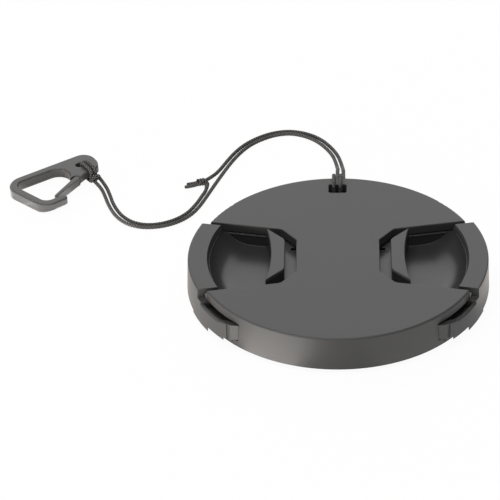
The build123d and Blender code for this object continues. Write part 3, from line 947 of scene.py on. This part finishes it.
@dataclass
class SnapClip:
    """The moulded clip and its springy gate, in its own tilted plane."""

    spot: Pair = (-73.3, 45.3)
    turn: float = 31.0
    tilt: float = 3.6
    reach: float = 11.1
    thick: float = 2.6
    # The web at the gate's root
    pivot: Pair = (5.35, -2.75)
    root: Pair = (0.76, 0.935)
    root_span: Pair = (-62.0, 88.0)
    root_height: Pair = (0.7, 2.45)
    # The squared foot and where it fades
    foot: Pair = (0.03, 0.85)
    foot_weld: float = 0.001
    foot_least: float = 0.05
    hook_side: float = -5.0
    hook_taper: Pair = (-8.0, 4.0)
    eye_corner: Pair = (4.5, 0.5)

    def plane(self) -> tuple[Vector, Vector, Vector, Vector]:
        """Work out the clip's own plane.

        Returns:
            Its origin in millimetres and its three axes.
        """
        turn, tilt = radians(self.turn), radians(self.tilt)
        x_axis = Vector((cos(turn) * cos(tilt), sin(turn) * cos(tilt), sin(tilt)))
        y_axis = Vector((-sin(turn), cos(turn), 0.0))
        origin = Vector((self.spot[0], self.spot[1], self.reach * sin(tilt)))
        return origin, x_axis, y_axis, x_axis.cross(y_axis)

    def spot_of(self, x: float, y: float, z: float) -> Vector:
        """A point of the clip's plane, in millimetres of the part's frame."""
        origin, x_axis, y_axis, z_axis = self.plane()
        return origin + x_axis * x + y_axis * y + z_axis * z

    def build(self, nodes: dict[str, bpy.types.Object], finishes: Finishes) -> None:
        """Dress the frame and the gate.

        Args:
            nodes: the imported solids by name.
            finishes: the object's materials.
        """
        for name in ("clip_frame", "clip_gate"):
            dress(nodes[name], finishes.clip)
            log.info("%s dressed", name)
        place(self._root(), Body.GATE, finishes.clip)
        place(self._foot(nodes["clip_frame"]), Body.CAP, finishes.clip)

    def _foot(self, frame: bpy.types.Object) -> bpy.types.Object:
        """Square up the lower edges of the clip, below the section of its frame at a low height.

        Args:
            frame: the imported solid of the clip's frame.

        Returns:
            The new object.
        """
        origin, x_axis, y_axis, z_axis = self.plane()
        low, high = self.foot
        mesh = bpy.data.meshes.new("clip_foot")
        shell = bmesh.new()
        shell.from_mesh(frame.data)
        bmesh.ops.remove_doubles(shell, verts=shell.verts, dist=self.foot_weld * MM)
        cut = bmesh.ops.bisect_plane(
            shell,
            geom=[*shell.verts, *shell.edges, *shell.faces],
            plane_co=(origin + z_axis * high) * MM,
            plane_no=z_axis,
        )
        kept = {item for item in cut["geom_cut"] if isinstance(item, bmesh.types.BMEdge)}
        corners = {vert for edge in kept for vert in edge.verts}
        bmesh.ops.delete(shell, geom=list(shell.faces), context="FACES_ONLY")
        bmesh.ops.delete(shell, geom=[edge for edge in shell.edges if edge not in kept], context="EDGES")
        bmesh.ops.delete(shell, geom=[vert for vert in shell.verts if vert not in corners], context="VERTS")
        tops = list(shell.edges)
        drawn = bmesh.ops.extrude_edge_only(shell, edges=tops)["geom"]
        lowered = [item for item in drawn if isinstance(item, bmesh.types.BMVert)]
        for vert in lowered:
            spot = vert.co / MM - origin
            share = self._foot_share(spot.dot(x_axis), spot.dot(y_axis))
            vert.co += z_axis * (low - high) * share * MM
        rims = [edge for edge in drawn if isinstance(edge, bmesh.types.BMEdge)]
        for loops in (rims, tops):
            bmesh.ops.triangle_fill(shell, edges=loops, use_beauty=True)
        bmesh.ops.recalc_face_normals(shell, faces=shell.faces)
        shell.to_mesh(mesh)
        shell.free()
        return shown("clip_foot", mesh)

    def _foot_share(self, along: float, across: float) -> float:
        """Share of the foot's full depth at a spot, which fades along the near arm and is least at the eye.

        Args:
            along: place along the clip.
            across: place across it.

        Returns:
            The share, from the least to 1.
        """
        if across < self.hook_side:
            start, run = self.hook_taper
            fade = min(1.0, max(0.0, (along - start) / run))
        else:
            fade = float(along > self.eye_corner[0] and across < self.eye_corner[1])
        return 1.0 - (1.0 - self.foot_least) * fade

    def _root(self) -> bpy.types.Object:
        """Build the web at the gate's root, which joins it to the eye.

        Returns:
            The new object.
        """
        turns = spread(*(radians(angle) for angle in self.root_span))
        plan = []
        for reach in self.root:
            arc = [
                self.spot_of(self.pivot[0] + reach * cos(turn), self.pivot[1] + reach * sin(turn), 0.0)
                for turn in turns
            ]
            plan += arc[::-1] if plan else arc
        low, high = ([spot + self.plane()[3] * z for spot in plan] for z in self.root_height)
        return block("gate_root", low, high)


@dataclass
class Leash:
    """The braided cord: three strands, a hitch at each end and the knot that closes the loop."""

    braid: Braid = field(default_factory=Braid)
    rest: float = 0.6
    # The hitch round the bar of the cap
    bar_in: float = 31.25
    bar_out: float = 35.76
    bar_low: float = 7.15
    bar_high: float = 10.65
    corner: float = 0.55
    hitch_x: Pair = (-0.95, 0.75)
    # The hitch through the eye of the clip
    eye_x: Pair = (9.25, 10.4)
    eye_start: float = 2.0
    eye_width: float = 4.8
    eye_clear: float = 0.65
    eye_lean: float = 4.0
    # The knot that closes the loop
    knot_head: Point = (-33.7, 47.6, 1.1)
    knot_aim: Point = (-0.95, -0.31, 0.0)
    knot_length: float = 3.0
    knot_reach: float = 0.62
    knot_turns: float = 2.9
    knot_steps: int = 10
    knot_start: float = 0.6
    knot_margin: float = 0.45
    wrap_girth: float = 0.88
    tail_girth: float = 0.95

    def long_route(self) -> list[Point]:
        """Control points of the strand from the cap to the clip."""
        z = self.rest
        return [
            (0.0, 36.4, 8.9), (0.0, 41.0, 8.1), (0.1, 46.2, 5.4), (0.0, 51.4, 2.4), (-0.4, 56.3, 0.9),
            (-1.2, 60.4, z), (-3.2, 64.5, z), (-5.8, 68.0, z), (-9.1, 70.4, z), (-12.7, 71.5, z),
            (-16.5, 70.7, z), (-20.0, 68.6, z), (-23.2, 65.6, z), (-25.7, 61.7, z), (-27.7, 57.5, z),
            (-29.4, 53.1, z), (-31.0, 48.7, z), (-32.5, 44.4, z), (-33.9, 40.3, z), (-35.3, 36.4, z),
            (-37.2, 32.6, z), (-40.0, 29.5, z), (-43.6, 27.4, z), (-47.4, 26.6, z), (-50.6, 26.9, z),
            (-53.7, 28.4, z), (-56.6, 31.8, z), (-58.7, 36.8, z), (-60.0, 41.5, 0.7), (-61.2, 44.8, 1.1),
            (-63.3, 47.45, 1.6),
        ]

    def upper_route(self) -> list[Point]:
        """Control points of the strand from the cap to the knot."""
        z = self.rest
        return [
            (1.5, 36.4, 8.9), (1.5, 41.0, 8.1), (1.4, 46.2, 5.4), (1.3, 51.5, 2.4), (0.9, 56.5, 0.9),
            (0.0, 60.8, z), (-2.0, 65.1, z), (-4.8, 69.0, z), (-8.5, 71.6, z), (-12.7, 72.7, z),
            (-16.9, 71.9, z), (-20.8, 69.6, z), (-24.2, 66.4, z), (-26.9, 62.3, z), (-28.9, 57.9, z),
            (-30.4, 54.2, z), (-32.0, 50.9, 0.7), (-33.8, 48.2, 1.15),
        ]

    def lower_route(self) -> list[Point]:
        """Control points of the strand from the knot to the clip."""
        z = self.rest
        return [
            (-34.0, 46.45, 0.75), (-33.8, 44.9, z), (-34.2, 43.0, z), (-34.9, 41.2, z), (-35.6, 39.1, z),
            (-36.6, 36.6, z), (-38.2, 33.4, z), (-40.8, 30.5, z), (-44.0, 28.6, z), (-47.3, 27.8, z),
            (-50.0, 28.1, z), (-52.7, 29.4, z), (-55.4, 32.5, z), (-57.5, 37.2, z), (-58.7, 41.8, 0.7),
            (-59.9, 45.4, 1.1), (-61.75, 48.35, 1.75),
        ]

    def build(self, clip: SnapClip, finishes: Finishes) -> None:
        """Args:
            clip: the clip that the far end is hitched to.
            finishes: the object's materials.
        """
        cap_hitch = self._cap_hitch()
        clip_hitch = self._clip_hitch(clip)
        knot = self._knot()
        for piece, node in ((cap_hitch, "cap_hitch"), (clip_hitch, "clip_hitch"), (knot, "loop_knot")):
            place(piece, Body.CAP, finishes.cord)
            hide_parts(node)
        strands = (
            ("cord_long", self.long_route(), 131.0, "object", 0, [cap_hitch, clip_hitch]),
            ("cord_upper", self.upper_route(), 78.5, "knot", 0, []),
            ("cord_lower", self.lower_route(), 51.8, "knot", -1, [knot]),
        )
        for node, points, length, far_end, exit_at, tied in strands:
            piece, line = self.braid.tube(node + "_braid", Route(points))
            place(piece, Body.CAP, finishes.cord)
            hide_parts(node)
            length * MM

    def _turn(
        self, origin: Vector, out: Vector, up: Vector, box: tuple[float, float, float, float]
    ) -> list[Point]:
        """Control points of one closed turn round a bar.

        Args:
            origin: where the measures start.
            out: direction across the bar.
            up: direction over the bar.
            box: least and greatest measure across, then over the bar.

        Returns:
            The points, two at each corner and one on each long side.
        """
        left, right, low, high = box
        c = self.corner
        flat = [
            (left + c, low), ((left + right) / 2, low), (right - c, low), (right, low + c),
            (right, (low + high) / 2), (right, high - c), (right - c, high), ((left + right) / 2, high),
            (left + c, high), (left, high - c), (left, (low + high) / 2), (left, low + c),
        ]
        return [tuple(origin + out * a + up * b) for a, b in flat]

    def _cap_hitch(self) -> bpy.types.Object:
        """Tie the near end: two turns round the cap's bar, the bight that holds them and the strands.

        Returns:
            The hitch.
        """
        box = (self.bar_in, self.bar_out, self.bar_low, self.bar_high)
        pieces = []
        for index, x in enumerate(self.hitch_x):
            points = self._turn(Vector((x, 0, 0)), Vector((0, 1, 0)), Vector((0, 0, 1)), box)
            pieces.append(self.braid.tube(f"cap_turn_{index}", Route(points, closed=True))[0])
        runs = (
            [(-0.95, 34.6, 6.9), (-1.7, 34.5, 6.3), (-2.15, 33.6, 6.1), (-1.3, 32.9, 6.1), (0.0, 32.8, 6.1),
             (1.3, 32.9, 6.1), (2.15, 33.6, 6.1), (1.7, 34.5, 6.3), (0.75, 34.6, 6.9)],
            [(-2.3, 34.1, 6.1), (-0.7, 34.4, 6.05), (0.7, 34.4, 6.05), (2.3, 34.1, 6.1)],
            [(0.0, 37.6, 8.75), (0.0, 36.4, 8.9), (-0.1, 35.9, 8.6), (-0.4, 35.8, 7.7)],
            [(1.5, 37.6, 8.75), (1.5, 36.4, 8.9), (1.4, 35.9, 8.6), (1.1, 35.8, 7.7)],
        )
        for index, points in enumerate(runs):
            pieces.append(self.braid.tube(f"cap_run_{index}", Route(points))[0])
        return joined("cap_hitch_braid", pieces)

    def _clip_hitch(self, clip: SnapClip) -> bpy.types.Object:
        """Tie the far end: two turns through the clip's eye and the bight over the strands that leave it.

        Args:
            clip: the clip.

        Returns:
            The hitch.
        """
        _, x_axis, y_axis, z_axis = clip.plane()
        lean = radians(self.eye_lean)
        outward = x_axis * sin(lean) - y_axis * cos(lean)
        pieces = []
        for index, x in enumerate(self.eye_x):
            start = clip.spot_of(x, self.eye_start, 0.0)
            box = (0.0, self.eye_width, -self.eye_clear, clip.thick + self.eye_clear)
            points = self._turn(start, outward, z_axis, box)
            pieces.append(self.braid.tube(f"clip_turn_{index}", Route(points, closed=True))[0])
        bight = [
            (9.3, -2.7, 0.0), (9.1, -3.4, 0.5), (9.5, -3.9, 1.4), (10.4, -4.0, 1.7), (11.2, -3.7, 1.3),
            (11.5, -3.2, 0.4), (10.9, -2.7, -0.1),
        ]
        points = [tuple(clip.spot_of(*spot)) for spot in bight]
        pieces.append(self.braid.tube("clip_bight", Route(points))[0])
        return joined("clip_hitch_braid", pieces)

    def _knot(self) -> bpy.types.Object:
        """Tie the knot: three tight wraps over two tails, with the ends of both strands in it.

        Returns:
            The knot.
        """
        head = Vector(self.knot_head)
        aim = Vector(self.knot_aim).normalized()
        up = Vector((0, 0, 1))
        across = aim.cross(up)
        wraps = []
        margin = self.knot_margin
        for share in spread(0.0, 1.0, round(self.knot_turns * self.knot_steps)):
            turn = 2 * pi * self.knot_turns * share + self.knot_start
            along = margin + (self.knot_length - 2 * margin) * share
            round_it = up * cos(turn) - across * sin(turn)
            wraps.append(tuple(head + aim * along + round_it * self.knot_reach))
        pieces = [self.braid.tube("knot_wraps", Route(wraps), self.wrap_girth)[0]]
        runs = (
            [(-34.3, 47.2, 1.0), (-36.2, 46.3, 0.85), (-37.8, 45.9, 0.6), (-39.4, 45.55, 0.55)],
            [(-34.3, 47.6, 1.0), (-36.3, 47.1, 0.95), (-37.7, 46.95, 0.65), (-38.9, 46.85, 0.55)],
            [(-32.9, 49.6, 0.9), (-33.8, 48.2, 1.15), (-34.4, 47.7, 1.2), (-35.2, 47.3, 1.1)],
            [(-34.6, 47.2, 1.1), (-33.7, 47.1, 1.0), (-33.55, 46.3, 0.75), (-33.8, 45.0, 0.6)],
        )
        for index, points in enumerate(runs):
            pieces.append(self.braid.tube(f"knot_run_{index}", Route(points), self.tail_girth)[0])
        return joined("loop_knot_braid", pieces)


@dataclass(frozen=True)
class SoftBox:
    """A soft box that faces the object, or lies on the table and shines up; measures in metres."""

    name: str
    spot: Point
    width: float
    height: float
    power: float
    colour: Colour = WHITE
    up: bool = False


@dataclass
class Studio:
    """Floor, soft light and the camera."""

    boxes: tuple[SoftBox, ...] = (
        SoftBox("low_strip", (-0.85, -0.62, 0.06), 0.8, 0.11, 7.0, (1.0, 0.92, 0.84)),
        SoftBox("table_left", (-0.065, 0.0, 0.0002), 0.07, 0.12, 0.0108, (1.0, 0.88, 0.76), up=True),
        SoftBox("table_front", (-0.021, -0.043, 0.0002), 0.02, 0.03, 0.0046, (1.0, 0.94, 0.9), up=True),
        SoftBox("table_mid", (-0.026, -0.043, 0.0003), 0.036, 0.03, 0.003, (1.0, 0.94, 0.9), up=True),
        SoftBox("table_clip", (-0.1, 0.04, 0.0002), 0.04, 0.05, 0.0078, up=True),
        SoftBox("table_gate", (-0.066, 0.03, 0.0002), 0.03, 0.026, 0.0034, up=True),
        SoftBox("table_right", (0.035, -0.045, 0.0002), 0.05, 0.04, 0.0028, (1.0, 0.97, 0.92), up=True),
        SoftBox("table_edge", (0.048, 0.003, 0.0002), 0.016, 0.03, 0.0017, (1.0, 0.86, 0.75), up=True),
        SoftBox("back_box", (-0.1, 1.15, 0.72), 1.6, 1.45, 10.8),
        SoftBox("top_box", (-0.15, -0.3, 1.3), 0.9, 0.7, 10.0),
        SoftBox("left_box", (-1.1, 0.2, 0.75), 0.9, 0.7, 2.5),
    )
    around: float = 0.26
    eye: Point = (-0.3, -605.995, 421.355)
    aim: Point = (-22.029, 17.193, 0.0)
    roll: float = -1.346
    lens: float = 216.0
    sensor: float = 36.0
    sight: Pair = (0.01, 20.0)
    floor_half: float = 3.0

    def build(self) -> None:
        """Make everything that isn't part of the object."""
        self._floor()
        self._lights()
        self._camera()
        bpy.context.scene.view_settings.view_transform = "Standard"

    def _floor(self) -> None:
        """Lay the floor."""
        h = self.floor_half
        mesh = bpy.data.meshes.new("floor")
        mesh.from_pydata([(-h, -h, 0), (h, -h, 0), (h, h, 0), (-h, h, 0)], [], [(0, 1, 2, 3)])
        floor = shown("floor", mesh)
        dress(floor, FloorFinish().make())

    def _lights(self) -> None:
        """Set the soft boxes and the even light around them."""
        world = bpy.data.worlds.new("studio")
        world.use_nodes = True
        back = world.node_tree.nodes["Background"]
        back.inputs["Color"].default_value = rgba(WHITE)
        back.inputs["Strength"].default_value = self.around
        bpy.context.scene.world = world
        for box in self.boxes:
            lamp = bpy.data.lights.new(box.name, "AREA")
            lamp.shape = "RECTANGLE"
            lamp.size = box.width
            lamp.size_y = box.height
            lamp.energy = box.power
            lamp.color = box.colour
            light = bpy.data.objects.new(box.name, lamp)
            light.location = box.spot
            light.rotation_mode = "QUATERNION"
            facing = Vector((0, 0, 1)) if box.up else -Vector(box.spot)
            light.rotation_quaternion = facing.to_track_quat("-Z", "Y")
            light.visible_camera = False
            bpy.context.scene.collection.objects.link(light)

    def _camera(self) -> None:
        """Stand the camera where the photograph was taken from."""
        data = bpy.data.cameras.new("camera")
        data.sensor_width = self.sensor
        data.lens = self.lens
        data.clip_start, data.clip_end = self.sight
        camera = bpy.data.objects.new("camera", data)
        eye, aim = Vector(self.eye) * MM, Vector(self.aim) * MM
        level = (aim - eye).to_track_quat("-Z", "Y")
        camera.location = eye
        camera.rotation_mode = "QUATERNION"
        camera.rotation_quaternion = level @ Quaternion((0, 0, 1), radians(self.roll))
        bpy.context.scene.collection.objects.link(camera)
        bpy.context.scene.camera = camera


def main() -> None:
    """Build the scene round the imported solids."""
    logging.basicConfig(level=logging.INFO, format="%(name)s: %(message)s")
    for stray in list(bpy.data.objects):
        bpy.data.objects.remove(stray)
    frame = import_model()
    nodes = frame["nodes"]
    Studio().build()
    finishes = Finishes()
    clip = SnapClip()
    Leash().build(clip, finishes)
    clip.build(nodes, finishes)
    CapShell().build(nodes, finishes)
    PinchLevers().build(nodes, finishes)
    CoilSprings().build(finishes)


if __name__ == "__main__":
    main()
